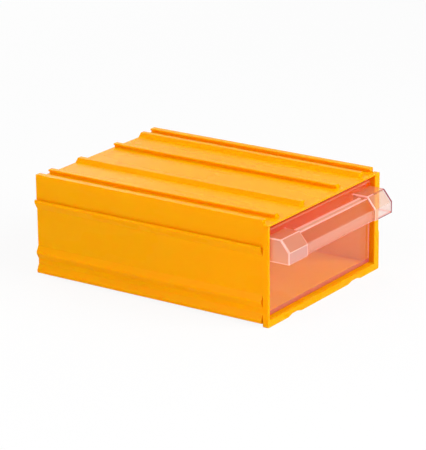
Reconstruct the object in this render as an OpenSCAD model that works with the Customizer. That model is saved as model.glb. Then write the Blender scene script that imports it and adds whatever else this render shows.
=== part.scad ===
// Stackable drawer box for crafts and small parts, in millimetres, +Z up.
// Two mouldings: an orange sleeve, closed at the back, that hooks onto its neighbours above, below
// and at either side, and a clear tinted drawer with a full-width handle moulded onto its front.
// The origin is on the table, under the middle of the whole box. The drawer pulls out along -Y.

/* [Housing] */
// Width across the front flange, which is the pitch of a row of boxes
flange_w = 156; // [130:1:240]
// Height of the front flange, which is the pitch of a stack
flange_h = 77.5; // [60:0.5:140]
// Depth from the face of the flange to the closed back
housing_d = 210; // [130:1:320]
// Depth of the flange's rim
flange_t = 4.5; // [3.5:0.1:8]
// Radius of the flange's outer corners
flange_r = 1.2; // [0.4:0.1:3]
// Lead-in chamfer round the mouth
mouth_chamfer = 0.4; // [0.1:0.1:0.8]
// Thickness of the top wall
deck_t = 1.4; // [1:0.1:3]
// Thickness of the floor
floor_t = 1.6; // [1:0.1:3]
// Thickness of the side walls
side_t = 1.2; // [1:0.1:2]
// Thickness of the closed back
back_t = 1.8; // [1:0.1:4]
// Width of the flange's left bar, from its outer edge to the mouth
left_bar_w = 2.95; // [2.7:0.05:4]
// Width of the flange's right bar, which hides the side hooks
right_bar_w = 6.8; // [6:0.1:12]
// Height of the flange's bottom bar, from the table to the inner floor
bottom_bar_h = 5.9; // [5.6:0.1:9]
// Radius inside the corners of the sleeve
bore_r = 1; // [0.3:0.1:3]
// Gap between the flange and the front ends of the ribs and rails
rib_start_gap = 1; // [0.5:0.1:3]
// Wall left round the hollows behind the flange
flange_skin_t = 1.4; // [1:0.1:2]

/* [Flange notches] */
// Depth of the finger notches in the bottom edge
notch_h = 1.5; // [0.5:0.1:2]
// Width of each bottom notch at the edge
notch_w = 17.5; // [12:0.5:24]
// Width of each bottom notch where it is full depth
notch_top_w = 7; // [4:0.5:11]
// Distance between the middles of the two bottom notches
notch_pitch = 83.6; // [60:0.1:90]
// Offset of the pair of bottom notches from the middle of the flange
notch_x = 0.5; // [-3:0.1:3]
// Depth of the notch in the right edge
side_notch_d = 1.05; // [0.4:0.05:1.4]
// Height of the right notch at the edge
side_notch_h = 18.5; // [12:0.5:24]
// Height of the right notch where it is full depth
side_notch_deep_h = 13.1; // [6:0.1:11.5]
// Height of the middle of the right notch above the table
side_notch_z = 38.8; // [25:0.1:40]

/* [Stacking ribs] */
// Height of the hooked ribs above the deck
hook_h = 3.1; // [2.8:0.1:3.2]
// Thickness of the lip of each hook
lip_t = 1.4; // [0.8:0.1:1.6]
// Depth of the undercut beneath each lip
undercut = 1.2; // [0.6:0.1:1.8]
// Width of the flat top of an inner rib
rib_top_w = 4.4; // [3:0.1:6]
// Width of the sloped flank of an inner rib
rib_slope_w = 3.4; // [1:0.1:5]
// Rounding along the top edges of the ribs
rib_r = 0.5; // [0.1:0.1:0.6]
// Distance from the flange's left edge to the middle of the left channel
left_channel_inset = 11.9; // [11.5:0.1:15]
// Width between the lips of the left channel
left_channel_w = 10.2; // [9:0.1:12]
// Distance from the flange's right edge to the middle of the right channel
right_channel_inset = 10.55; // [9.5:0.05:14]
// Width between the lips of the right channel
right_channel_w = 8.6; // [8:0.1:11]
// Offset of the middle channel from the middle of the flange
mid_channel_x = 1.25; // [-3:0.05:3]
// Width between the lips of the middle channel
mid_channel_w = 41.9; // [30:0.1:50]
// Clearance round a tongue or hook that sits in a neighbour's channel or groove
link_gap = 0.4; // [0.2:0.05:0.6]
// Thickness of the head of each tongue under the floor
tongue_t = 1.2; // [0.8:0.1:1.2]
// Width of each foot of the middle pair of tongues
foot_w = 4; // [3:0.1:8]

/* [Side links] */
// How far the side links stand proud of the flange's edge
link_proud = 1.2; // [0.8:0.1:1.3]
// How far the left wall stands back from the flange's edge above the rail
wall_inset = 1.4; // [1.3:0.05:1.6]
// Height of the top of the upward rail above the table
rail_z = 61.2; // [45:0.1:64]
// Height of the outer face of the rail
rail_face_h = 1.6; // [1:0.1:3]
// Chamfer along the top of the rail
rail_chamfer = 0.7; // [0.2:0.1:0.7]
// Thickness of the rail's upward hook
rail_t = 1.1; // [0.8:0.1:1.2]
// Depth of the groove behind the rail's hook
groove_d = 2; // [1.5:0.1:3]
// Height of the slope below the rail
rail_slope_h = 5.4; // [3:0.1:8]
// Height of the middle of the bulge along the lower wall
bulge_z = 18.9; // [17:0.1:24]
// Height of the bulge where it meets the wall
bulge_h = 10.6; // [6:0.1:11]
// How far the bulge stands out of the lower wall
bulge_out = 2.4; // [1:0.1:2.8]
// Height of the underside of the bottom ridge above the table
ridge_z = 2.5; // [2:0.1:3.5]
// Height of the bottom ridge
ridge_h = 7.3; // [5:0.1:7.5]
// How far the bottom ridge stands out of the lower wall
ridge_out = 2.2; // [1:0.1:2.8]
// Height of the flat face of the bulge and of the ridge
bump_face_h = 1.6; // [0.8:0.1:3]
// Thickness of the web of the right-hand hook and of the deck's overhang
web_t = 1.5; // [1:0.1:2]
// How far the deck's right edge stands back from the flange's edge
overhang_inset = 0.8; // [0.5:0.1:1.5]
// Height of the tongue on the right that drops between the bulge and the ridge
side_tongue_h = 2.4; // [1.2:0.1:2.6]

/* [Drawer] */
// How far the drawer's front sits behind the face of the flange
front_recess = 4; // [2:0.1:6]
// Clearance at each side of the drawer
drawer_side_gap = 0.6; // [0.3:0.05:1.5]
// Clearance under the drawer
drawer_floor_gap = 0.4; // [0.3:0.05:1]
// Clearance between the closed drawer and the back
drawer_back_gap = 0.5; // [0.3:0.1:2]
// Height from the top of the drawer's walls to the inside of the deck
drawer_top_gap = 3.9; // [3.5:0.1:10]
// Thickness of the drawer's side and rear walls
tray_wall_t = 1.5; // [1:0.1:3]
// Thickness of the drawer's front
front_t = 1.8; // [1:0.1:3]
// Thickness of the drawer's floor
tray_floor_t = 1.8; // [1:0.1:3]
// Radius inside the upright corners of the drawer
tray_r = 3; // [1:0.5:8]
// Width of the stop tab on the drawer's rear wall
stop_tab_w = 70; // [30:1:100]
// Distance from the face of the flange to the stop rib inside the deck
stop_inset = 28; // [12:1:60]
// Thickness of the stop rib
stop_t = 1.8; // [1:0.1:4]
// How far the stop tab and the stop rib overlap
stop_overlap = 2; // [1:0.1:2.5]

/* [Handle] */
// How far the handle stands proud of the face of the flange
handle_proud = 15.7; // [10:0.1:25]
// How far the top of the handle stands proud of the face of the flange
handle_top_proud = 8.6; // [4:0.1:9.5]
// Height of the handle's bottom edge above the table
handle_z = 49.7; // [30:0.1:50]
// Height of the upright band along the handle's front
band_h = 9.3; // [6:0.1:12]
// Height of the sloped face above the band
slope_h = 8.8; // [5:0.1:9]
// Width of the hollow block at each end of the handle
block_w = 25.3; // [16:0.1:35]
// Wall of the hollow end blocks
block_t = 1.6; // [1:0.1:2.5]
// How far the middle bar stands back from the end blocks
bar_setback = 1.5; // [0.5:0.1:3]
// Height from the top of the middle bar to the top of the end blocks
bar_drop = 1.8; // [0.5:0.1:3]
// Thickness of each of the two walls of the label slot
slot_wall_t = 1.4; // [0.8:0.1:1.6]
// Width of the label slot between its walls
slot_w = 2.8; // [0.5:0.1:3]
// Thickness of the closed bottom of the label slot
slot_floor_t = 1.2; // [0.8:0.1:3]

/* [Hidden] */
$fn = 48;
eps = 0.01;
merge = 0.3;                    // how deep joined forms reach into each other
open_past = 1;                  // how far a cut runs past the face that it opens

// Places along Y: the whole box, closed, is centred on the origin.
face_y = handle_proud - (housing_d + handle_proud) / 2;
back_y = face_y + housing_d;
flange_back_y = face_y + flange_t;
rib_y = flange_back_y + rib_start_gap;
bore_back_y = back_y - back_t;

// Places across X and Z of the sleeve.
edge_x = flange_w / 2;
bore_left = -edge_x + left_bar_w;
bore_right = edge_x - right_bar_w;
bore_w = bore_right - bore_left;
bore_top = flange_h - deck_t;
bore_h = bore_top - bottom_bar_h;
under_z = bottom_bar_h - floor_t;
low_wall_x = bore_left - side_t;
high_wall_x = -edge_x + wall_inset;
right_wall_x = bore_right + side_t;
link_left_x = -edge_x - link_proud;
link_right_x = edge_x + link_proud;

// The three channels between the hooked ribs: [middle, width between the lips].
left_channel = [-edge_x + left_channel_inset, left_channel_w];
mid_channel = [mid_channel_x, mid_channel_w];
right_channel = [edge_x - right_channel_inset, right_channel_w];
overhang_x = edge_x - overhang_inset;

// The right-hand links meet the left-hand links of the next box, one flange width away.
hook_web_z = rail_z + link_gap;
hook_lip_x = link_left_x + rail_t + flange_w + link_gap;
side_tongue_z = (bulge_z - bulge_h / 2 + ridge_z + ridge_h - side_tongue_h) / 2;

// The drawer.
tray_left = bore_left + drawer_side_gap;
tray_w = bore_w - 2 * drawer_side_gap;
tray_right = tray_left + tray_w;
tray_front_y = face_y + front_recess;
tray_back_y = bore_back_y - drawer_back_gap;
tray_z = bottom_bar_h + drawer_floor_gap;
tray_top_z = bore_top - drawer_top_gap;
tray_floor_z = tray_z + tray_floor_t;
tray_d = tray_back_y - tray_front_y;
stop_y = face_y + stop_inset;
stop_rib_h = (drawer_top_gap + stop_overlap) / 2;
stop_tab_top_z = bore_top - stop_rib_h + stop_overlap;
tray_mid_x = tray_left + tray_w / 2;

// The handle, as places along Y.
band_y = face_y - handle_proud;
slope_top_y = face_y - handle_top_proud;
band_top_z = handle_z + band_h;
handle_top_z = band_top_z + slope_h;
slope_run = slope_top_y - band_y;
slope_len = norm([slope_run, slope_h]);
slope_rate = slope_run / slope_h;       // how far the slope goes back for each mm it rises
bar_t = 2 * slot_wall_t + slot_w;
bar_left = tray_left + block_w;
bar_right = tray_right - block_w;
bar_top_z = handle_top_z - bar_drop;

// A flat section drawn in X and Z, pushed along Y from one place to another.
module along_y(from_y, to_y)
    translate([0, to_y, 0])
        rotate([90, 0, 0])
            linear_extrude(to_y - from_y) children();

// A flat section drawn in Y and Z, pushed along X from one place to another.
module along_x(from_x, to_x)
    translate([from_x, 0, 0])
        rotate([90, 0, 90])
            linear_extrude(to_x - from_x) children();

// A rectangle with round corners, from its lower left corner.
module round_rect(w, h, r) {
    translate([r, 0]) square([w - 2 * r, h]);
    translate([0, r]) square([w, h - 2 * r]);
    for (x = [r, w - r], y = [r, h - r])
        translate([x, y]) circle(r);
}

// The waste outside a round corner of radius r, with the corner at the origin and the body at +X +Y.
module corner_waste(r)
    difference() {
        translate([-eps, -eps]) square(r + eps);
        translate([r, r]) circle(r);
    }

// A hooked rib with its lip at x = 0 and its body towards +X, standing on z = 0.
module hook_rib(top_w, slope_w)
    difference() {
        polygon([
            [undercut, -merge], [undercut, hook_h - lip_t], [0, hook_h - lip_t],
            [0, hook_h], [top_w, hook_h], [top_w + slope_w, 0], [top_w + slope_w, -merge]
        ]);
        translate([0, hook_h]) mirror([0, 1]) corner_waste(rib_r);
    }

// The pair of ribs whose lips face each other across one channel.
module channel_ribs(channel, left_w, left_slope, right_w, right_slope)
    translate([channel[0], flange_h]) {
        translate([channel[1] / 2, 0]) hook_rib(right_w, right_slope);
        mirror([1, 0]) translate([channel[1] / 2, 0]) hook_rib(left_w, left_slope);
    }

// All six ribs: the outer two are upright and end level with the walls, the inner four are sloped.
module rib_section() {
    outer_left_w = left_channel[0] - left_channel[1] / 2 - high_wall_x;
    outer_right_w = overhang_x - right_channel[0] - right_channel[1] / 2;
    channel_ribs(left_channel, outer_left_w, 0, rib_top_w, rib_slope_w);
    channel_ribs(mid_channel, rib_top_w, rib_slope_w, rib_top_w, rib_slope_w);
    channel_ribs(right_channel, rib_top_w, rib_slope_w, outer_right_w, 0);
}

// A T-shaped tongue under the floor that slides between the lips of a narrow channel.
module tongue_section(channel) {
    neck_w = channel[1] - 2 * link_gap;
    head_w = neck_w + 2 * undercut;
    translate([channel[0] - neck_w / 2, 0]) square([neck_w, under_z + merge]);
    translate([channel[0] - head_w / 2, 0]) square([head_w, tongue_t]);
}

// The two L-shaped feet under the floor that hook outwards into the wide middle channel.
module feet_section(channel)
    for (side = [0, 1])
        translate([channel[0], 0])
            mirror([side, 0])
                translate([channel[1] / 2 - link_gap, 0]) {
                    translate([-foot_w, 0]) square([foot_w, under_z + merge]);
                    translate([-foot_w, 0]) square([foot_w + undercut, tongue_t]);
                }

// A long bump on the lower left wall with a flat face and sloped flanks.
module wall_bump(z, h, out)
    polygon([
        [low_wall_x + merge, z], [low_wall_x, z], [low_wall_x - out, z + (h - bump_face_h) / 2],
        [low_wall_x - out, z + (h + bump_face_h) / 2], [low_wall_x, z + h], [low_wall_x + merge, z + h]
    ]);

// The upward rail on the left wall: a hook with a groove behind it and a long slope below it.
module rail_section() {
    face_top_z = rail_z - rail_chamfer;
    face_low_z = face_top_z - rail_face_h;
    difference() {
        polygon([
            [low_wall_x + merge, face_low_z - rail_slope_h], [low_wall_x, face_low_z - rail_slope_h],
            [link_left_x, face_low_z], [link_left_x, face_top_z], [link_left_x + rail_chamfer, rail_z],
            [low_wall_x + merge, rail_z]
        ]);
        translate([link_left_x + rail_t, rail_z - groove_d])
            square([high_wall_x - link_left_x - rail_t, groove_d + eps]);
    }
}

// The bottom ridge on the left wall, rounded under like a skirting.
module ridge_section() {
    top_z = ridge_z + ridge_h;
    polygon([
        [low_wall_x + merge, ridge_z], [low_wall_x - ridge_out + rib_r, ridge_z],
        [low_wall_x - ridge_out, ridge_z + 2 * rib_r],
        [low_wall_x - ridge_out, ridge_z + 2 * rib_r + bump_face_h],
        [low_wall_x, top_z], [low_wall_x + merge, top_z]
    ]);
}

// The right-hand links: a hook that hangs into the next box's rail, and a tongue below it.
module right_link_section() {
    translate([right_wall_x - merge, hook_web_z])
        square([link_right_x - right_wall_x + merge, web_t]);
    translate([hook_lip_x, hook_web_z + link_gap - groove_d])
        square([link_right_x - hook_lip_x, groove_d]);
    translate([right_wall_x - merge, side_tongue_z])
        square([link_right_x - right_wall_x + merge, side_tongue_h]);
    translate([right_wall_x - merge, flange_h - web_t])
        square([overhang_x - right_wall_x + merge, web_t]);
}

// The plain sleeve wall, without its ribs and links and without its bore.
module sleeve_section() {
    translate([low_wall_x, under_z]) square([right_wall_x - low_wall_x, flange_h - under_z]);
    translate([high_wall_x, rail_z - groove_d])
        square([low_wall_x - high_wall_x + merge, flange_h - rail_z + groove_d]);
}

// The inside of the sleeve.
module bore_section()
    translate([bore_left, bottom_bar_h]) round_rect(bore_w, bore_h, bore_r);

// The outline of the flange with its notches for fingertips.
module flange_section()
    difference() {
        translate([-edge_x, 0]) round_rect(flange_w, flange_h, flange_r);
        for (side = [-1, 1])
            translate([notch_x + side * notch_pitch / 2, 0])
                polygon([
                    [-notch_w / 2, -eps], [-notch_top_w / 2, notch_h],
                    [notch_top_w / 2, notch_h], [notch_w / 2, -eps]
                ]);
        translate([edge_x, side_notch_z])
            polygon([
                [eps, -side_notch_h / 2], [-side_notch_d, -side_notch_deep_h / 2],
                [-side_notch_d, side_notch_deep_h / 2], [eps, side_notch_h / 2]
            ]);
    }

// The lead-in chamfer round the mouth: a wedge along each of its four edges.
module mouth_chamfer_waste() {
    wedge = [[-eps, -eps], [mouth_chamfer, -eps], [-eps, mouth_chamfer]];
    translate([bore_left, face_y, bottom_bar_h])
        linear_extrude(bore_h) mirror([1, 0]) polygon(wedge);
    translate([bore_right, face_y, bottom_bar_h])
        linear_extrude(bore_h) polygon(wedge);
    along_x(bore_left, bore_right) {
        translate([face_y, bore_top]) polygon(wedge);
        translate([face_y, bottom_bar_h]) mirror([0, 1]) polygon(wedge);
    }
}

// The hollows behind the flange's thick right and bottom bars, as in any thin-walled moulding.
module flange_pockets() {
    pocket_right = edge_x - side_notch_d - flange_skin_t;
    along_y(face_y + flange_skin_t, flange_back_y + eps) {
        translate([right_wall_x, under_z]) square([pocket_right - right_wall_x, rail_z - under_z]);
        for (span = [
                [-edge_x + flange_skin_t, notch_x - notch_pitch / 2 - notch_w / 2 - flange_skin_t],
                [notch_x - (notch_pitch - notch_w) / 2 + flange_skin_t,
                 notch_x + (notch_pitch - notch_w) / 2 - flange_skin_t],
                [notch_x + notch_pitch / 2 + notch_w / 2 + flange_skin_t, pocket_right]
            ])
            translate([span[0], flange_skin_t])
                square([span[1] - span[0], under_z - flange_skin_t]);
    }
}

// The stop rib inside the deck that catches the drawer's tab.
module stop_rib()
    translate([tray_mid_x - stop_tab_w / 2, stop_y, bore_top - stop_rib_h])
        cube([stop_tab_w, stop_t, stop_rib_h + merge]);

module housing()
    color("orange") {
        difference() {
            union() {
                along_y(face_y, flange_back_y) flange_section();
                along_y(flange_back_y - merge, back_y) sleeve_section();
                along_y(rib_y, back_y) {
                    rib_section();
                    rail_section();
                    wall_bump(bulge_z - bulge_h / 2, bulge_h, bulge_out);
                    ridge_section();
                    right_link_section();
                    tongue_section(left_channel);
                    tongue_section(right_channel);
                    feet_section(mid_channel);
                }
            }
            along_y(face_y - open_past, bore_back_y) bore_section();
            mouth_chamfer_waste();
            flange_pockets();
        }
        stop_rib();
    }

// The place along Y of the handle's sloped face, sunk by depth, at height z.
function slope_y(z, depth) = band_y + (z - band_top_z) * slope_rate + depth * slope_len / slope_h;

// The height at which the sloped face and the upright band meet once both are sunk by depth.
function break_z(depth) = band_top_z - depth * (slope_len / slope_h - 1) / slope_rate;

// The handle's front outline in Y and Z, sunk by depth, from low_z up to top_z.
function skin(depth, low_z, top_z) = [
    [band_y + depth, low_z], [band_y + depth, break_z(depth)], [slope_y(top_z, depth), top_z]
];

// A shell of the handle's front between two depths.
module skin_section(outer, inner, low_z, top_z) {
    front = skin(outer, low_z, top_z);
    back = skin(inner, low_z, top_z);
    polygon([front[0], front[1], front[2], back[2], back[1], back[0]]);
}

// Everything between the handle's front outline and the drawer's front.
module block_section(depth, low_z, top_z, rear_y)
    polygon(concat(skin(depth, low_z, top_z), [[rear_y, top_z], [rear_y, low_z]]));

// One hollow end block, open below, from its left face.
module end_block(left_x)
    difference() {
        along_x(left_x, left_x + block_w)
            block_section(0, handle_z, handle_top_z, tray_front_y + merge);
        along_x(left_x + block_t, left_x + block_w - block_t)
            block_section(block_t, handle_z - open_past, handle_top_z - block_t, tray_front_y);
    }

// The set-back bar between the end blocks, with its label slot open at the top.
module label_bar()
    difference() {
        along_x(bar_left - merge, bar_right + merge)
            skin_section(bar_setback, bar_setback + bar_t, handle_z, bar_top_z);
        along_x(bar_left, bar_right)
            skin_section(bar_setback + slot_wall_t, bar_setback + slot_wall_t + slot_w,
                         handle_z + slot_floor_t, bar_top_z + eps);
    }

// The outline of the tray seen from above, square at the front and round at the back.
module tray_plan() {
    round_rect(tray_w, tray_d, tray_r + tray_wall_t);
    square([tray_w, tray_d / 2]);
}

// The open tray with its round inner corners.
module tray()
    translate([tray_left, tray_front_y, 0])
        difference() {
            translate([0, 0, tray_z]) linear_extrude(tray_top_z - tray_z) tray_plan();
            translate([tray_wall_t, front_t, tray_floor_z])
                linear_extrude(tray_top_z - tray_floor_z + open_past)
                    round_rect(tray_w - 2 * tray_wall_t, tray_d - front_t - tray_wall_t, tray_r);
        }

// The tab on the rear wall that meets the stop rib when the drawer is pulled out.
module stop_tab()
    translate([tray_mid_x - stop_tab_w / 2, tray_back_y - tray_wall_t, tray_top_z - merge])
        cube([stop_tab_w, tray_wall_t, stop_tab_top_z - tray_top_z + merge]);

module drawer()
    color("pink", 0.5) {
        tray();
        stop_tab();
        end_block(tray_left);
        end_block(bar_right);
        label_bar();
    }

housing();
drawer();
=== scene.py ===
"""Looks for a stackable drawer box: an orange moulded sleeve and one clear, rose-tinted drawer.

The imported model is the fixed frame. Each moulding is a welded copy of its own solid with the small
round edges that a mould leaves, dressed in a procedural plastic, and it rides on the solid's body.
All lengths are in metres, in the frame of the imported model. The angles of the camera and the lamps
are in degrees.
"""

import logging
import math
from abc import ABC, abstractmethod
from dataclasses import dataclass
from enum import Enum
from typing import Any

import bmesh
import bpy
from mathutils import Color, Matrix, Vector

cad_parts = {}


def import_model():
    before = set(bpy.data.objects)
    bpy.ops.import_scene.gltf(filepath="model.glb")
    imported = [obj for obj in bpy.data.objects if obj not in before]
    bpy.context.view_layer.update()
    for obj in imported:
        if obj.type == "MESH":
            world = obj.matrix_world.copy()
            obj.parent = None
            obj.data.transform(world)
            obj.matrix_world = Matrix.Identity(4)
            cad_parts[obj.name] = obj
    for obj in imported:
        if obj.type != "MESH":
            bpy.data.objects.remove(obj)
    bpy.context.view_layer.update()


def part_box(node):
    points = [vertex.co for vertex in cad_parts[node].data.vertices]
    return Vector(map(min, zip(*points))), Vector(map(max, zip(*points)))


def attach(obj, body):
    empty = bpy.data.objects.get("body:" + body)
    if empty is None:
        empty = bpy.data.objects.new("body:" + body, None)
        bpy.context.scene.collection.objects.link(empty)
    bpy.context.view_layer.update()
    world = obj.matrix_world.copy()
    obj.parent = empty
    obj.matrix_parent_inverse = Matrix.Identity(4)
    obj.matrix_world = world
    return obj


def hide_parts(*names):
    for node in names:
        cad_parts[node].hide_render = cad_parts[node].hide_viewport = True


MM = 0.001
LOG = logging.getLogger("drawer_box")

Colour = tuple[float, float, float]
Triple = tuple[float, float, float]
Span = tuple[float, float]

BLACK: Colour = (0.0, 0.0, 0.0)
WHITE: Colour = (1.0, 1.0, 1.0)
FULL_CHANNEL = 255


def linear(red: int, green: int, blue: int) -> Colour:
    """Turn a display colour into the linear one that a shader takes.

    Args:
        red: Red from 0 to 255.
        green: Green from 0 to 255.
        blue: Blue from 0 to 255.

    Returns:
        The linear colour, each part from 0 to 1.
    """
    shown = Color([part / FULL_CHANNEL for part in (red, green, blue)])
    return tuple(shown.from_srgb_to_scene_linear())


def direction(azimuth: float, elevation: float) -> Vector:
    """Point from the box towards something that stands round it.

    Args:
        azimuth: How far round it stands from straight before the drawer, in degrees.
        elevation: How high it stands, in degrees.

    Returns:
        The direction, one metre long.
    """
    turn, rise = math.radians(azimuth), math.radians(elevation)
    flat = math.cos(rise)
    return Vector((math.sin(turn) * flat, -math.cos(turn) * flat, math.sin(rise)))


class Body(Enum):
    """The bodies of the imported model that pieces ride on."""

    HOUSING = "housing"
    DRAWER = "drawer"


class Tint(Enum):
    """How much of the drawer's clear skin is painted over in a zone, and in which colour. Some tints
    paint shade, highlights and reflection; the rest give the cloudy colour that the skin shows
    there.
    """

    TRAY = 0.4, (0.8, 0.5, 0.4)
    FRONT_BELOW_HANDLE = 0.2, (0.79, 0.3, 0.09)
    FRONT_ABOVE_HANDLE = 0.25, (0.88, 0.05, 0.0)
    # Painted highlight: a pale stripe near the front's right edge.
    FRONT_STRIPE = 0.12, (1.0, 0.72, 0.62)
    FRONT_RIM = 0.45, (0.85, 0.3, 0.17)
    # The foot is partly the floor's end seen edge-on, deeper in colour, and partly a painted shadow
    # of the gap under the drawer. The side line is a painted highlight, and the strip beside it is
    # painted shade of the gap to the sleeve.
    FRONT_FOOT = 0.75, (0.5, 0.09, 0.08)
    FRONT_SIDE = 0.6, (0.9, 0.38, 0.3)
    FRONT_CORNER = 0.7, (0.45, 0.1, 0.05)
    LEFT_SLOPE = 0.5, (0.76, 0.35, 0.22)
    # The bands are paler and milkier than the slopes: a painted reflection of the light from below.
    LEFT_BAND = 0.57, (0.68, 0.39, 0.34)
    # The right block's tints are a little greyer than the left one's: painted shade.
    RIGHT_SLOPE = 0.5, (0.68, 0.34, 0.22)
    RIGHT_BAND = 0.57, (0.64, 0.41, 0.36)
    END_PLATE = 0.5, (0.98, 0.46, 0.29)
    # Painted highlight: pale lines inside the left end plate and along the left block's crease.
    PALE_LINE = 0.6, (1.0, 0.72, 0.62)
    # The bar's band is paler too: a painted reflection of the light from below.
    BAR_BAND = 0.42, (0.84, 0.39, 0.25)
    BAR_SLOPE = 0.2, (0.82, 0.25, 0.09)
    SLOT_WALL = 0.5, (0.7, 0.43, 0.3)
    # Painted shade: the dark outline of the handle's right tip, which fades where the skin faces the
    # eye.
    TIP_TOP = 0.6, (0.4, 0.2, 0.12)
    TIP_UNDERSIDE = 0.82, (0.2, 0.2, 0.22)
    TIP_SHADE = 0.4, (0.5, 0.27, 0.26)
    TIP_END = 0.97, (0.24, 0.02, 0.04)

    def __init__(self, share: float, colour: Colour) -> None:
        """Name the two parts of a tint."""
        self.share = share
        self.colour = colour


@dataclass(frozen=True)
class Zone:
    """A box in the drawer's own coordinates where its outer skin is painted with a tint, some of
    them painted shade, highlights and reflection.

    A zone of turned skin fades out where the skin faces the eye, as the gloss of a round edge does.
    """

    x: Span
    y: Span
    z: Span
    tint: Tint
    only_turned: bool = False


# ----------------------------------------------------------------------------------------------
# Shader maths
# ----------------------------------------------------------------------------------------------


class Signal:
    """One output of a shader node, on which plain Python arithmetic adds Math nodes."""

    def __init__(self, recipe: "Recipe", socket: bpy.types.NodeSocket) -> None:
        """Keep the recipe that holds the node and the node's output."""
        self.recipe = recipe
        self.socket = socket

    def _math(self, operation: str, first: Any, second: Any, clamp: bool = False) -> "Signal":
        """Add one Math node on two signals or numbers, and return its result."""
        settings = {"operation": operation, "use_clamp": clamp}
        return self.recipe.node("ShaderNodeMath", settings, {0: first, 1: second})

    def __add__(self, other: Any) -> "Signal":
        """Return self + other."""
        return self._math("ADD", self, other)

    __radd__ = __add__

    def __sub__(self, other: Any) -> "Signal":
        """Return self - other."""
        return self._math("SUBTRACT", self, other)

    def __rsub__(self, other: Any) -> "Signal":
        """Return other - self."""
        return self._math("SUBTRACT", other, self)

    def __mul__(self, other: Any) -> "Signal":
        """Return self * other."""
        return self._math("MULTIPLY", self, other)

    __rmul__ = __mul__

    def __pow__(self, other: Any) -> "Signal":
        """Return self to the power of other."""
        return self._math("POWER", self, other)

    def or_more(self, other: Any) -> "Signal":
        """Return the larger of self and other."""
        return self._math("MAXIMUM", self, other)

    def under(self, limit: float) -> "Signal":
        """Return 1 where self is under a limit and 0 elsewhere."""
        return self._math("LESS_THAN", self, limit)

    def between(self, low: float, high: float) -> "Signal":
        """Return 1 where self is between two limits and 0 elsewhere."""
        return self._math("GREATER_THAN", self, low) * self.under(high)

    def ramp(self, low: float, high: float) -> "Signal":
        """Return 0 up to a low limit, 1 from a high one on, and a straight rise between them."""
        return self._math("MULTIPLY", self - low, 1 / (high - low), clamp=True)


class Recipe:
    """The node tree of one material or of the world."""

    # The numbers of a Mix node's sockets for its share, its two colours and its result.
    MIX_SHARE, MIX_FIRST, MIX_SECOND, MIX_RESULT = 0, 6, 7, 2

    def __init__(self, tree: bpy.types.NodeTree) -> None:
        """Take over a node tree and empty it."""
        self.tree = tree
        tree.nodes.clear()

    def add(
        self,
        kind: str,
        settings: dict[str, Any] | None = None,
        inputs: dict[str | int, Any] | None = None,
    ) -> bpy.types.Node:
        """Add one node.

        Args:
            kind: The node's type.
            settings: The node's own properties, which are set first.
            inputs: What each input takes: a signal, which is linked, or a value.

        Returns:
            The node.
        """
        made = self.tree.nodes.new(kind)
        for name, value in (settings or {}).items():
            setattr(made, name, value)
        for name, value in (inputs or {}).items():
            slot = made.inputs[name]
            if isinstance(value, Signal):
                self.tree.links.new(value.socket, slot)
            else:
                slot.default_value = (*value, 1.0) if slot.type == "RGBA" else value
        return made

    def node(
        self,
        kind: str,
        settings: dict[str, Any] | None = None,
        inputs: dict[str | int, Any] | None = None,
        output: str | int = 0,
    ) -> Signal:
        """Add one node, as add does, and return the output that has a name or number."""
        return Signal(self, self.add(kind, settings, inputs).outputs[output])

    def finish(self, kind: str, surface: Signal, volume: Signal | None = None) -> None:
        """Add the tree's output node.

        Args:
            kind: The output node's type.
            surface: The shader of the surface.
            volume: The shader of the inside, if it has one.
        """
        ends = {"Surface": surface}
        if volume is not None:
            ends["Volume"] = volume
        self.add(kind, inputs=ends)

    def ray(self, question: str) -> Signal:
        """Return what a Light Path node says of a ray, such as Is Camera Ray."""
        return self.node("ShaderNodeLightPath", output=question)

    def noise(self, grain: float, detail: float = 2.0, stretch: Triple = (1, 1, 1)) -> Signal:
        """Add noise on the piece's own coordinates.

        Args:
            grain: The size of one blotch, in metres.
            detail: How many finer layers it has.
            stretch: How much larger the blotches are along X, Y and Z.

        Returns:
            The noise, from 0 to 1.
        """
        place = self.node("ShaderNodeTexCoord", output="Object")
        scale = [1 / (grain * along) for along in stretch]
        placed = self.node("ShaderNodeMapping", inputs={"Vector": place, "Scale": scale})
        return self.node(
            "ShaderNodeTexNoise", inputs={"Vector": placed, "Scale": 1.0, "Detail": detail}
        )

    def inside(self, zone: Zone) -> Signal:
        """Mark a zone of the piece.

        Args:
            zone: The zone.

        Returns:
            1 inside the zone and 0 outside it.
        """
        place = self.node("ShaderNodeTexCoord", output="Object")
        split = self.add("ShaderNodeSeparateXYZ", inputs={0: place})
        in_x, in_y, in_z = (
            Signal(self, split.outputs[axis]).between(*span)
            for axis, span in zip("XYZ", (zone.x, zone.y, zone.z))
        )
        return in_x * in_y * in_z

    def blend(self, share: Any, first: Any, second: Any) -> Signal:
        """Mix two colours or signals, where the share of the second is from 0 to 1."""
        inputs = {self.MIX_SHARE: share, self.MIX_FIRST: first, self.MIX_SECOND: second}
        return self.node("ShaderNodeMix", {"data_type": "RGBA"}, inputs, output=self.MIX_RESULT)

    @staticmethod
    def mix_number(share: Signal, first: Any, second: Any) -> Signal:
        """Mix two numbers or signals, where the share of the second is from 0 to 1."""
        return share * second + (1 - share) * first

    def bump(self, height: Signal, depth: float) -> Signal:
        """Turn a height from 0 to 1 into a normal, where 1 stands for a depth in metres."""
        return self.node("ShaderNodeBump", inputs={"Height": height, "Distance": depth})


# ----------------------------------------------------------------------------------------------
# Finishes
# ----------------------------------------------------------------------------------------------


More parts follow.
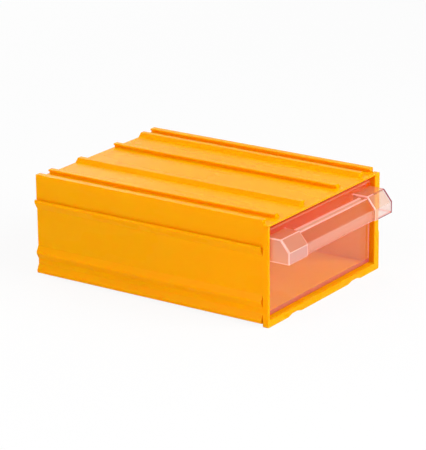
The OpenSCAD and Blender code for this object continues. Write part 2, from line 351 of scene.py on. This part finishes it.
@dataclass(frozen=True)
class OpaquePlastic:
    """Glossy opaque moulded plastic with faint flow marks and a fine orange-peel skin."""

    name: str
    colour: Colour
    deep_colour: Colour
    roughness: float
    specular: float
    roughness_spread: float = 0.05
    glow_share: float = 0.7
    glow_depth: Triple = (3.5 * MM, 0.5 * MM, 0.1 * MM)
    flow_grain: float = 40 * MM
    flow_detail: float = 3.0
    flow_stretch: Triple = (1.0, 3.0, 1.0)
    skin_grain: float = 1.2 * MM
    skin_depth: float = 0.004 * MM

    def material(self) -> bpy.types.Material:
        """Make the material.

        Returns:
            The material.
        """
        made = bpy.data.materials.new(self.name)
        made.use_nodes = True
        recipe = Recipe(made.node_tree)
        flow = recipe.noise(self.flow_grain, self.flow_detail, self.flow_stretch)
        skin = recipe.noise(self.skin_grain)
        shader = recipe.node(
            "ShaderNodeBsdfPrincipled",
            inputs={
                "Base Color": recipe.blend(flow, self.colour, self.deep_colour),
                "Roughness": self.roughness + self.roughness_spread * flow,
                "Specular IOR Level": self.specular,
                "Subsurface Weight": self.glow_share,
                "Subsurface Radius": self.glow_depth,
                "Subsurface Scale": 1.0,
                "Normal": recipe.bump(skin, self.skin_depth),
            },
        )
        recipe.finish("ShaderNodeOutputMaterial", shader)
        return made


@dataclass
class SkinTint:
    """What a clear skin is like at a point, once its zones are laid over it."""

    milk: Signal
    colour: Signal | Colour
    # The colour of the painted glow, which a zone takes away.
    glow: Signal | Colour
    polish: Signal | float


@dataclass(frozen=True)
class ClearPlastic:
    """Clear tinted moulded plastic with a faintly milky skin and a mirror gloss.

    It is deeper in colour the more of it lies behind its skin. The light of the lamps and the room
    passes through the skin unchanged. Its zones paint shade, highlights and reflection on its outer
    skin, and its glow is a painted glow that no lamp gives.
    """

    name: str
    milk: float
    outer_milk: float
    roughness: float
    rim_shine: float
    zones: tuple[Zone, ...]
    # A painted glow on the skin, as if it were a lamp.
    glow: float = 0.0
    painted_glow_colour: Colour = WHITE
    skin_colour: Colour = (1.0, 1.0, 0.98)
    milk_colour: Colour = (1.0, 0.7, 0.6)
    depth_colour: Colour = (1.0, 0.5, 0.4)
    depth_density: float = 25.0
    roughness_spread: float = 0.03
    face_shine: float = 0.03
    later_shine: float = 0.4
    rim_sharpness: int = 5
    turned_from: float = 0.2
    turned_fully: float = 0.4
    ripple_grain: float = 18 * MM
    ripple_detail: float = 1.0
    ripple_depth: float = 0.05 * MM

    def material(self) -> bpy.types.Material:
        """Make the material.

        Returns:
            The material.
        """
        made = bpy.data.materials.new(self.name)
        made.use_nodes = True
        recipe = Recipe(made.node_tree)
        ripple = recipe.noise(self.ripple_grain, self.ripple_detail)
        relief = {
            "Roughness": self.roughness + self.roughness_spread * ripple,
            "Normal": recipe.bump(ripple, self.ripple_depth),
        }
        turned = recipe.node(
            "ShaderNodeLayerWeight", inputs={"Normal": relief["Normal"]}, output="Facing"
        )
        first = recipe.ray("Transparent Depth").under(1)
        tint = self._lay_zones(recipe, first, turned)
        plain = self._without_gloss(recipe, tint, relief)
        gloss = recipe.node(
            "ShaderNodeBsdfPrincipled", inputs={"Base Color": WHITE, "Metallic": 1.0, **relief}
        )
        # The skins behind the first one shine less, and a cloudy one hardly shines.
        shine = self.face_shine + self.rim_shine * turned**self.rim_sharpness
        shine = shine * recipe.mix_number(first, self.later_shine, 1.0) * tint.polish
        seen = recipe.node("ShaderNodeMixShader", inputs={0: shine, 1: plain, 2: gloss})
        # Light passes straight through, so that what lies inside the drawer is lit.
        lighting = recipe.ray("Is Shadow Ray").or_more(recipe.ray("Is Diffuse Ray"))
        passed = recipe.node("ShaderNodeBsdfTransparent", inputs={"Color": WHITE})
        surface = recipe.node("ShaderNodeMixShader", inputs={0: lighting, 1: seen, 2: passed})
        depth = recipe.node(
            "ShaderNodeVolumeAbsorption",
            inputs={"Color": self.depth_colour, "Density": self.depth_density},
        )
        recipe.finish("ShaderNodeOutputMaterial", surface, depth)
        return made

    def _lay_zones(self, recipe: Recipe, first: Signal, turned: Signal) -> SkinTint:
        """Lay the zones, with their painted shade, highlights and reflection, over the plain skin,
        each over the ones before it.

        Args:
            recipe: The material's node tree.
            first: 1 on the skin that is met first and 0 on the ones behind it.
            turned: How far the skin is turned from the eye, from 0 to 1.

        Returns:
            The skin with its zones.
        """
        milk = self.milk + self.outer_milk * first
        tint = SkinTint(milk, self.milk_colour, self.painted_glow_colour, polish=1.0)
        edge_on = turned.ramp(self.turned_from, self.turned_fully)
        for zone in self.zones:
            here = recipe.inside(zone) * first
            if zone.only_turned:
                here = here * edge_on
            tint.milk = recipe.mix_number(here, tint.milk, zone.tint.share)
            tint.colour = recipe.blend(here, tint.colour, zone.tint.colour)
            # A zone takes away the painted glow.
            tint.glow = recipe.blend(here, tint.glow, BLACK)
            tint.polish = tint.polish * (1 - zone.tint.share * here)
        return tint

    def _without_gloss(self, recipe: Recipe, tint: SkinTint, relief: dict[str, Signal]) -> Signal:
        """Mix the milk of the skin with what is seen through it.

        Args:
            recipe: The material's node tree.
            tint: The skin with its zones.
            relief: The skin's roughness and normal.

        Returns:
            The shader of the skin without its gloss.
        """
        clear = recipe.node("ShaderNodeBsdfTransparent", inputs={"Color": self.skin_colour})
        # The milky part carries the painted glow.
        milky = recipe.node(
            "ShaderNodeBsdfPrincipled",
            inputs={
                "Base Color": tint.colour,
                "Emission Color": tint.glow,
                "Emission Strength": self.glow,
                **relief,
            },
        )
        return recipe.node("ShaderNodeMixShader", inputs={0: tint.milk, 1: clear, 2: milky})


@dataclass(frozen=True)
class StudioPaper:
    """A plain white sweep that stays white behind the box and keeps its soft shadow."""

    name: str = "studio_paper"
    colour: Colour = (0.8, 0.8, 0.8)
    glow: float = 0.9

    def material(self) -> bpy.types.Material:
        """Make the material.

        Returns:
            The material.
        """
        made = bpy.data.materials.new(self.name)
        made.use_nodes = True
        recipe = Recipe(made.node_tree)
        paper = recipe.node("ShaderNodeBsdfDiffuse", inputs={"Color": self.colour})
        light = recipe.node("ShaderNodeEmission", inputs={"Strength": 1.0})
        seen = recipe.ray("Is Camera Ray").or_more(recipe.ray("Is Transmission Ray"))
        share = seen * self.glow
        surface = recipe.node("ShaderNodeMixShader", inputs={0: share, 1: paper, 2: light})
        recipe.finish("ShaderNodeOutputMaterial", surface)
        return made


# ----------------------------------------------------------------------------------------------
# Where the drawer's skin is tinted, and painted with shade, highlights and reflection
# ----------------------------------------------------------------------------------------------


@dataclass(frozen=True)
class DrawerPlan:
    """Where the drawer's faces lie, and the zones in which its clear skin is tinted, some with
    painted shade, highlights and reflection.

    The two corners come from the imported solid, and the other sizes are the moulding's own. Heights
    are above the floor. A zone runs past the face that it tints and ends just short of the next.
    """

    low: Vector
    high: Vector
    # The moulding's sizes.
    rim_z: float = 72.2 * MM
    front_wall: float = 1.8 * MM
    handle_z: float = 49.7 * MM
    handle_depth: float = 19.7 * MM
    band_height: float = 9.3 * MM
    slope_height: float = 8.8 * MM
    slope_depth: float = 7.1 * MM
    block_width: float = 25.3 * MM
    block_wall: float = 1.6 * MM
    bar_setback: float = 1.5 * MM
    bar_drop: float = 1.8 * MM
    slot_wall: float = 1.4 * MM
    slot_width: float = 2.8 * MM
    # The sizes of what is tinted: painted highlight and shade lines along edges, the slot's wall and
    # the handle's right tip with its painted dark outline.
    slot_tint: float = 2 * MM
    foot_line: float = 3.9 * MM
    edge_line: float = 0.9 * MM
    rim_line: float = 1 * MM
    highlight_stripe: float = 2.5 * MM
    crease_rise: float = 0.1 * MM
    tip_dark: float = 2.4 * MM
    tip_shade: float = 3.6 * MM
    tip_top: float = 16.6 * MM
    tip_underside: float = 21.6 * MM
    tip_line: float = 0.85 * MM
    tip_underline: float = 1.1 * MM
    tip_lip: float = 2.85 * MM
    # How far zones run past faces, and how far from them they end.
    past: float = 0.5 * MM
    around: float = 0.75 * MM
    short: float = 0.25 * MM
    side_short: float = 0.03 * MM

    @property
    def front_y(self) -> float:
        """Return where the drawer's front face lies."""
        return self.low.y + self.handle_depth

    @property
    def crease_z(self) -> float:
        """Return where the handle's upright band turns into its slope."""
        return self.handle_z + self.band_height

    @property
    def handle_top_z(self) -> float:
        """Return where the top of the handle lies."""
        return self.crease_z + self.slope_height

    @property
    def across(self) -> Span:
        """Return the whole width of the drawer."""
        return (self.low.x - self.past, self.high.x + self.past)

    @property
    def front_skin(self) -> Span:
        """Return a thin slice that holds the front face and no part of the handle."""
        return (self.front_y - self.short, self.front_y + self.around)

    @property
    def below_handle(self) -> Span:
        """Return the heights of the front between its dark foot and the handle."""
        return (self.low.z + self.foot_line, self.handle_z - self.past)

    @property
    def handle_reach(self) -> Span:
        """Return the depth of the handle, up to just short of the drawer's front."""
        return (self.low.y - self.past, self.front_y - self.short)

    @property
    def handle_height(self) -> Span:
        """Return the whole height of the handle."""
        return (self.handle_z - self.past, self.handle_top_z + self.past)

    @property
    def band_span(self) -> Span:
        """Return the height of the handle's band, up to its crease line."""
        return (self.handle_z - self.past, self.crease_z - self.past)

    @property
    def between_blocks(self) -> Span:
        """Return the width of the middle bar."""
        left_end = self.low.x + self.block_width + self.short
        return (left_end, self.high.x - self.block_width - self.short)

    def face_zones(self) -> tuple[Zone, ...]:
        """Return the zones of the faces. A later one covers an earlier one."""
        return self._front_zones() + self._bar_zones() + self._left_zones() + self._right_zones()

    def edge_zones(self) -> tuple[Zone, ...]:
        """Return the zones of the edges, lines of painted shade and painted highlight, which cover
        those of the faces.
        """
        return self._tip_lines() + self._front_lines()

    def _front_zones(self) -> tuple[Zone, ...]:
        """Tint the tray and the front, with a painted highlight stripe near the front's right edge.

        Returns:
            The zones.
        """
        behind = (self.front_y + self.around, self.high.y + self.past)
        whole_height = (self.low.z - self.past, self.high.z + self.past)
        above_handle = (self.crease_z, self.rim_z - self.rim_line)
        pane_end = self.high.x - 2 * self.edge_line
        pane = (self.across[0], pane_end)
        # A painted highlight stripe just inside the front's right edge.
        highlight_stripe = (pane_end - self.highlight_stripe, pane_end)
        return (
            Zone(self.across, behind, whole_height, Tint.TRAY),
            Zone(pane, self.front_skin, self.below_handle, Tint.FRONT_BELOW_HANDLE),
            Zone(pane, self.front_skin, above_handle, Tint.FRONT_ABOVE_HANDLE),
            Zone(highlight_stripe, self.front_skin, self.below_handle, Tint.FRONT_STRIPE),
        )

    def _bar_zones(self) -> tuple[Zone, ...]:
        """Tint the middle bar: its band, with a painted reflection, its slope and the rear wall of
        its label slot.

        Returns:
            The zones.
        """
        width = self.between_blocks
        face_y = self.low.y + self.bar_setback
        top_z = self.handle_top_z - self.bar_drop
        top_y = face_y + (top_z - self.crease_z) * self.slope_depth / self.slope_height
        slot_y = top_y + self.slot_wall + self.slot_width
        face = (face_y - self.around, face_y + self.around)
        slope = (self.crease_z - self.past, self.handle_height[1])
        slot = (top_z - 2 * self.slot_tint, top_z + self.past)
        return (
            Zone(width, face, self.band_span, Tint.BAR_BAND),
            Zone(width, (face[0], top_y + self.around), slope, Tint.BAR_SLOPE),
            Zone(width, (slot_y - self.slot_tint, slot_y + self.slot_tint), slot, Tint.SLOT_WALL),
        )

    def _left_zones(self) -> tuple[Zone, ...]:
        """Tint the left end block, with painted highlight lines inside its end plate and along its
        crease.

        Returns:
            The zones.
        """
        outside, inside = self.across[0], self.between_blocks[0]
        plate_end = self.low.x + self.short
        plate_inside = self.low.x + self.block_wall
        line = (plate_inside - self.short, plate_inside + self.short)
        slope = (self.crease_z, self.handle_top_z - self.past)
        crease = (self.crease_z - self.past, self.crease_z + self.crease_rise)
        block = (outside, inside)
        plate = (outside, plate_end)
        rest = (plate_end, inside)
        return self._block_zones(block, plate, rest, Tint.LEFT_SLOPE, Tint.LEFT_BAND) + (
            Zone(line, self.handle_reach, slope, Tint.PALE_LINE),
            Zone(rest, self.handle_reach, crease, Tint.PALE_LINE),
        )

    def _right_zones(self) -> tuple[Zone, ...]:
        """Tint the right end block, a little greyer than the left one: painted shade.

        Returns:
            The zones.
        """
        inside, outside = self.between_blocks[1], self.across[1]
        plate_end = self.high.x - self.short
        block = (inside, outside)
        plate = (plate_end, outside)
        rest = (inside, plate_end)
        return self._block_zones(block, plate, rest, Tint.RIGHT_SLOPE, Tint.RIGHT_BAND)

    def _block_zones(
        self, block: Span, plate: Span, rest: Span, slope_tint: Tint, band_tint: Tint
    ) -> tuple[Zone, ...]:
        """Tint one end block of the handle.

        Args:
            block: The whole width of the block.
            plate: The outer face of its end plate.
            rest: The width of the block without that face.
            slope_tint: The tint of its slope and its other faces.
            band_tint: The tint of its band, a painted reflection of the light from below.

        Returns:
            The zones.
        """
        return (
            Zone(block, self.handle_reach, self.handle_height, slope_tint),
            Zone(plate, self.handle_reach, self.handle_height, Tint.END_PLATE),
            Zone(rest, self.handle_reach, self.band_span, band_tint),
        )

    def _tip_lines(self) -> tuple[Zone, ...]:
        """Paint a dark outline, a painted shade, on the right end of the handle, which stands
        against the light.

        Returns:
            The zones.
        """
        right = self.high.x
        end = right - self.side_short
        slope_top_y = self.low.y + self.slope_depth
        slope = (self.low.y - self.past, slope_top_y + self.around)
        top = (right - self.tip_top, end)
        top_y = (slope_top_y - self.tip_line, slope_top_y + self.tip_line)
        top_z = (self.handle_top_z - self.tip_line, self.handle_top_z + self.short)
        under = (right - self.tip_underside, end)
        under_y = (self.low.y - self.past, self.low.y + self.tip_lip)
        under_z = (self.handle_z - self.past, self.handle_z + self.tip_underline)
        shade = (right - self.tip_shade, right - self.tip_dark)
        dark = (right - self.tip_dark, end)
        return (
            Zone(top, top_y, top_z, Tint.TIP_TOP, only_turned=True),
            Zone(under, under_y, under_z, Tint.TIP_UNDERSIDE, only_turned=True),
            Zone(shade, slope, self.handle_height, Tint.TIP_SHADE, only_turned=True),
            Zone(dark, slope, self.handle_height, Tint.TIP_END, only_turned=True),
        )

    def _front_lines(self) -> tuple[Zone, ...]:
        """Darken the front's rim, paint shade on its right edge with a painted highlight line just
        inside it, and darken its foot, partly with a painted shadow.

        Returns:
            The zones.
        """
        rim_y = (self.front_y - self.short, self.front_y + self.front_wall + self.short)
        rim_z = (self.rim_z - self.rim_line, self.rim_z + self.short)
        edge_z = (self.low.z - self.past, self.handle_z - self.past)
        foot_z = (self.low.z - self.past, self.low.z + self.foot_line)
        side = (self.high.x - 2 * self.edge_line, self.high.x - self.edge_line)
        corner = (self.high.x - self.edge_line, self.high.x - self.side_short)
        return (
            Zone(self.across, rim_y, rim_z, Tint.FRONT_RIM),
            Zone(side, self.front_skin, edge_z, Tint.FRONT_SIDE),
            Zone(corner, self.front_skin, edge_z, Tint.FRONT_CORNER),
            Zone((self.across[0], corner[1]), self.front_skin, foot_z, Tint.FRONT_FOOT),
        )


# ----------------------------------------------------------------------------------------------
# Mouldings
# ----------------------------------------------------------------------------------------------


def choose(piece: bpy.types.Object) -> None:
    """Make one object the only one selected, and the active one.

    Args:
        piece: The object.
    """
    bpy.ops.object.select_all(action="DESELECT")
    piece.select_set(True)
    bpy.context.view_layer.objects.active = piece


@dataclass
class Moulding(ABC):
    """One injection moulding, taken from its solid and given round edges."""

    node: str
    body: Body
    slot: str
    edge_radius: float
    lip_radius: float
    lip_width: float = 2 * MM
    edge_steps: int = 2
    sharp_angle: float = math.radians(14)
    round_angle: float = math.radians(45)
    weld_gap: float = 0.002 * MM

    @abstractmethod
    def finishes(self) -> tuple[OpaquePlastic | ClearPlastic, ...]:
        """Return the finish of the faces, then that of the edges if they have their own."""

    def build(self) -> bpy.types.Object:
        """Make the piece.

        Returns:
            The piece, dressed and riding on its body.
        """
        piece = self._copy()
        self._weld(piece)
        self._dress(piece)
        self._mark_edges(piece)
        self._round_edges(piece)
        self._keep_in_solid(piece)
        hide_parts(self.node)
        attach(piece, self.body.value)
        return piece

    def _copy(self) -> bpy.types.Object:
        """Copy the solid.

        Returns:
            A free copy with a mesh of its own.
        """
        mesh = bpy.data.objects[self.node].data.copy()
        piece = bpy.data.objects.new(f"{self.node}_moulding", mesh)
        bpy.context.scene.collection.objects.link(piece)
        return piece

    def _weld(self, piece: bpy.types.Object) -> None:
        """Join the loose triangles of a copied solid into one clean skin.

        Args:
            piece: The copy.
        """
        choose(piece)
        bpy.ops.object.mode_set(mode="EDIT")
        bpy.ops.mesh.select_all(action="SELECT")
        bpy.ops.mesh.customdata_custom_splitnormals_clear()
        bpy.ops.mesh.remove_doubles(threshold=self.weld_gap)
        bpy.ops.object.mode_set(mode="OBJECT")

    def _dress(self, piece: bpy.types.Object) -> None:
        """Put the finishes on the piece.

        Args:
            piece: The welded copy.
        """
        piece.data.materials.clear()
        for finish in self.finishes():
            piece.data.materials.append(finish.material())

    def _mark_edges(self, piece: bpy.types.Object) -> None:
        """Weigh each outward edge by its radius, and give the ends of walls the edge finish, which
        on the drawer carries painted highlights and a painted glow.

        Args:
            piece: The dressed copy.
        """
        form = bmesh.new()
        form.from_mesh(piece.data)
        widths = self._face_widths(form)
        weight = form.edges.layers.float.new("bevel_weight_edge")
        for edge in form.edges:
            if edge.is_manifold and edge.calc_face_angle_signed() > self.round_angle:
                at_lip = min(widths[face] for face in edge.link_faces) < self.lip_width
                edge[weight] = self.lip_radius / self.edge_radius if at_lip else 1.0
        for face, width in widths.items():
            if width < self.lip_width:
                face.material_index = len(piece.data.materials) - 1
        form.to_mesh(piece.data)
        form.free()

    def _face_widths(self, form: bmesh.types.BMesh) -> dict[bmesh.types.BMFace, float]:
        """Measure how wide the smooth face is that each facet belongs to.

        Args:
            form: The welded mesh.

        Returns:
            The width of the whole face, for each of its facets.
        """
        widths: dict[bmesh.types.BMFace, float] = {}
        waiting = dict.fromkeys(form.faces)
        while waiting:
            spreading = [waiting.popitem()[0]]
            whole, outline = [], 0.0
            while spreading:
                face = spreading.pop()
                whole.append(face)
                for edge in face.edges:
                    if edge.calc_face_angle(math.pi) > self.sharp_angle:
                        outline += edge.calc_length()
                        continue
                    for near in edge.link_faces:
                        if near in waiting:
                            del waiting[near]
                            spreading.append(near)
            # A long strip is as wide as twice its area over its outline.
            area = sum(face.calc_area() for face in whole)
            widths.update(dict.fromkeys(whole, 2 * area / outline if outline else math.inf))
        return widths

    def _round_edges(self, piece: bpy.types.Object) -> None:
        """Give every outward edge the small radius that a mould leaves.

        Args:
            piece: The copy, with its edges weighed.
        """
        choose(piece)
        bpy.ops.object.shade_smooth_by_angle(angle=self.sharp_angle)
        rounding = piece.modifiers.new("round_edges", "BEVEL")
        rounding.width = self.edge_radius
        rounding.segments = self.edge_steps
        rounding.limit_method = "WEIGHT"
        rounding.use_clamp_overlap = False
        rounding.harden_normals = True
        rounding.miter_outer = "MITER_ARC"
        # The round edges take the edge finish, which on the drawer paints highlights and a glow
        # along them.
        rounding.material = len(piece.data.materials) - 1
        bpy.ops.object.modifier_apply(modifier=rounding.name)

    def _keep_in_solid(self, piece: bpy.types.Object) -> None:
        """Bring back any corner that rounding has pushed out of the solid's box.

        Args:
            piece: The rounded copy.
        """
        low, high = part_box(self.node)
        for vertex in piece.data.vertices:
            ends = zip(vertex.co, low, high)
            vertex.co = [min(max(at, start), end) for at, start, end in ends]


@dataclass
class Sleeve(Moulding):
    """The orange sleeve, with its flange, its hooked ribs and its rails."""

    node: str = "housing"
    body: Body = Body.HOUSING
    slot: str = "housing_plastic"
    edge_radius: float = 0.22 * MM
    lip_radius: float = 0.22 * MM

    def finishes(self) -> tuple[OpaquePlastic]:
        """Return the sleeve's one finish."""
        plastic = OpaquePlastic(
            name="orange_plastic",
            colour=linear(246, 167, 0),
            deep_colour=linear(244, 162, 0),
            roughness=0.25,
            specular=0.04,
        )
        return (plastic,)


@dataclass
class Drawer(Moulding):
    """The clear drawer with its handle, whose edges and thin lips carry painted highlights and a
    painted glow.
    """

    node: str = "drawer"
    body: Body = Body.DRAWER
    slot: str = "drawer_plastic"
    edge_radius: float = 0.9 * MM
    lip_radius: float = 0.4 * MM

    def finishes(self) -> tuple[ClearPlastic, ClearPlastic]:
        """Make the clear plastic and its edges, made brighter by painted highlights and a painted
        glow.

        Returns:
            The finish of the faces and that of the edges.
        """
        plan = DrawerPlan(*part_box(self.node))
        faces = ClearPlastic(
            name="rose_clear_plastic",
            milk=0.012,
            outer_milk=0.0,
            roughness=0.05,
            rim_shine=1.0,
            zones=plan.face_zones() + plan.edge_zones(),
        )
        # The edge finish paints highlights on round edges and on the ends of walls: a pale milk on
        # the first skin met and a glow that no lamp gives.
        edges = ClearPlastic(
            name="rose_clear_plastic_edge_painted_glow",
            milk=0.04,
            outer_milk=0.46,
            roughness=0.1,
            rim_shine=0.1,
            zones=plan.edge_zones(),
            glow=0.6,
            painted_glow_colour=(1.0, 0.35, 0.28),
        )
        return (faces, edges)


# ----------------------------------------------------------------------------------------------
# Studio
# ----------------------------------------------------------------------------------------------


@dataclass(frozen=True)
class Camera:
    """A long lens that looks down on the left front corner of the box.

    Its sensor is measured in millimetres, and its focal length in pixels of the frame.
    """

    azimuth: float = -55.54
    elevation: float = 18.37
    roll: float = -0.54
    distance: float = 1811.26 * MM
    aim: Triple = (0.0, 7.85 * MM, 38.7 * MM)
    slide_right: float = 3.72 * MM
    slide_up: float = -0.78 * MM
    sensor: float = 36.0
    focal_pixels: float = 2376.95
    frame_height: int = 450
    nearest: float = 10 * MM
    farthest: float = 100.0

    def build(self) -> None:
        """Add the camera and make it the scene's."""
        back = direction(self.azimuth, self.elevation)
        level = Vector((0, 0, 1)).cross(back).normalized()
        right = Matrix.Rotation(math.radians(self.roll), 3, back) @ level
        up = back.cross(right)
        lens = bpy.data.cameras.new("camera")
        # The sensor's width is laid along the longer side of the frame, which is its height.
        lens.sensor_width = self.sensor
        lens.lens = self.sensor * self.focal_pixels / self.frame_height
        lens.clip_start = self.nearest
        lens.clip_end = self.farthest
        place = Vector(self.aim) + back * self.distance
        place += right * self.slide_right + up * self.slide_up
        axes = Matrix((right, up, back)).transposed()
        made = bpy.data.objects.new("camera", lens)
        made.matrix_world = Matrix.Translation(place) @ axes.to_4x4()
        bpy.context.scene.collection.objects.link(made)
        bpy.context.scene.camera = made


@dataclass(frozen=True)
class Softbox:
    """A large soft lamp aimed at the box."""

    name: str
    azimuth: float
    elevation: float
    watts: float
    distance: float = 1.6
    size: float = 1.2

    def build(self) -> None:
        """Add the lamp."""
        back = direction(self.azimuth, self.elevation)
        lamp = bpy.data.lights.new(self.name, "AREA")
        lamp.shape = "DISK"
        lamp.size = self.size
        lamp.energy = self.watts
        made = bpy.data.objects.new(self.name, lamp)
        made.location = back * self.distance
        made.rotation_mode = "QUATERNION"
        made.rotation_quaternion = (-back).to_track_quat("-Z", "Y")
        made.visible_camera = False
        bpy.context.scene.collection.objects.link(made)


@dataclass(frozen=True)
class Studio:
    """The floor, the room's light, the lamps and the camera.

    What is glossy mirrors a dim room in front and a pale wall at the back. The wall fades in
    between two directions, each given by its part along Y.
    """

    camera: Camera
    lamps: tuple[Softbox, ...]
    paper: StudioPaper
    room_light: float = 0.4
    front_glint: float = 0.1
    back_glint: float = 0.8
    wall_from: float = -0.4
    wall_full: float = 0.4
    floor_size: float = 16.0
    bounces: int = 32
    diffuse_bounces: int = 8
    transmission_bounces: int = 24
    clear_skins: int = 32

    def build(self) -> None:
        """Set the stage round the box."""
        self.camera.build()
        for lamp in self.lamps:
            lamp.build()
        self._lay_floor()
        self._light_room()
        bpy.context.scene.view_settings.view_transform = "Standard"
        tracer = bpy.context.scene.cycles
        tracer.max_bounces = self.bounces
        tracer.diffuse_bounces = self.diffuse_bounces
        tracer.transmission_bounces = self.transmission_bounces
        tracer.transparent_max_bounces = self.clear_skins

    def _lay_floor(self) -> None:
        """Lay a wide sheet of paper under the box."""
        bpy.ops.object.select_all(action="DESELECT")
        bpy.ops.mesh.primitive_plane_add(size=self.floor_size)
        floor = bpy.context.object
        floor.name = "floor"
        floor.data.materials.append(self.paper.material())

    def _light_room(self) -> None:
        """Light the room evenly, show it white to the eye, and let gloss mirror its wall."""
        world = bpy.data.worlds.new("room")
        world.use_nodes = True
        bpy.context.scene.world = world
        recipe = Recipe(world.node_tree)
        way = recipe.node("ShaderNodeTexCoord", output="Generated")
        back = recipe.node("ShaderNodeSeparateXYZ", inputs={0: way}, output="Y")
        wall = back.ramp(self.wall_from, self.wall_full)
        glint = recipe.mix_number(wall, self.front_glint, self.back_glint)
        light = recipe.mix_number(recipe.ray("Is Glossy Ray"), self.room_light, glint)
        strength = recipe.mix_number(recipe.ray("Is Camera Ray"), light, 1.0)
        room = recipe.node("ShaderNodeBackground", inputs={"Color": WHITE, "Strength": strength})
        recipe.finish("ShaderNodeOutputWorld", room)


def main() -> None:
    """Build the box and its studio."""
    logging.basicConfig(level=logging.INFO, format="%(name)s: %(message)s")
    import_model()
    lamps = (
        Softbox("front", azimuth=10, elevation=34, watts=23),
        Softbox("side", azimuth=-100, elevation=33, watts=12),
        Softbox("back", azimuth=150, elevation=25, watts=6),
    )
    Studio(Camera(), lamps, StudioPaper()).build()
    for moulding in (Sleeve(), Drawer()):
        piece = moulding.build()
        LOG.info("%s: %d faces", piece.name, len(piece.data.polygons))


if __name__ == "__main__":
    main()
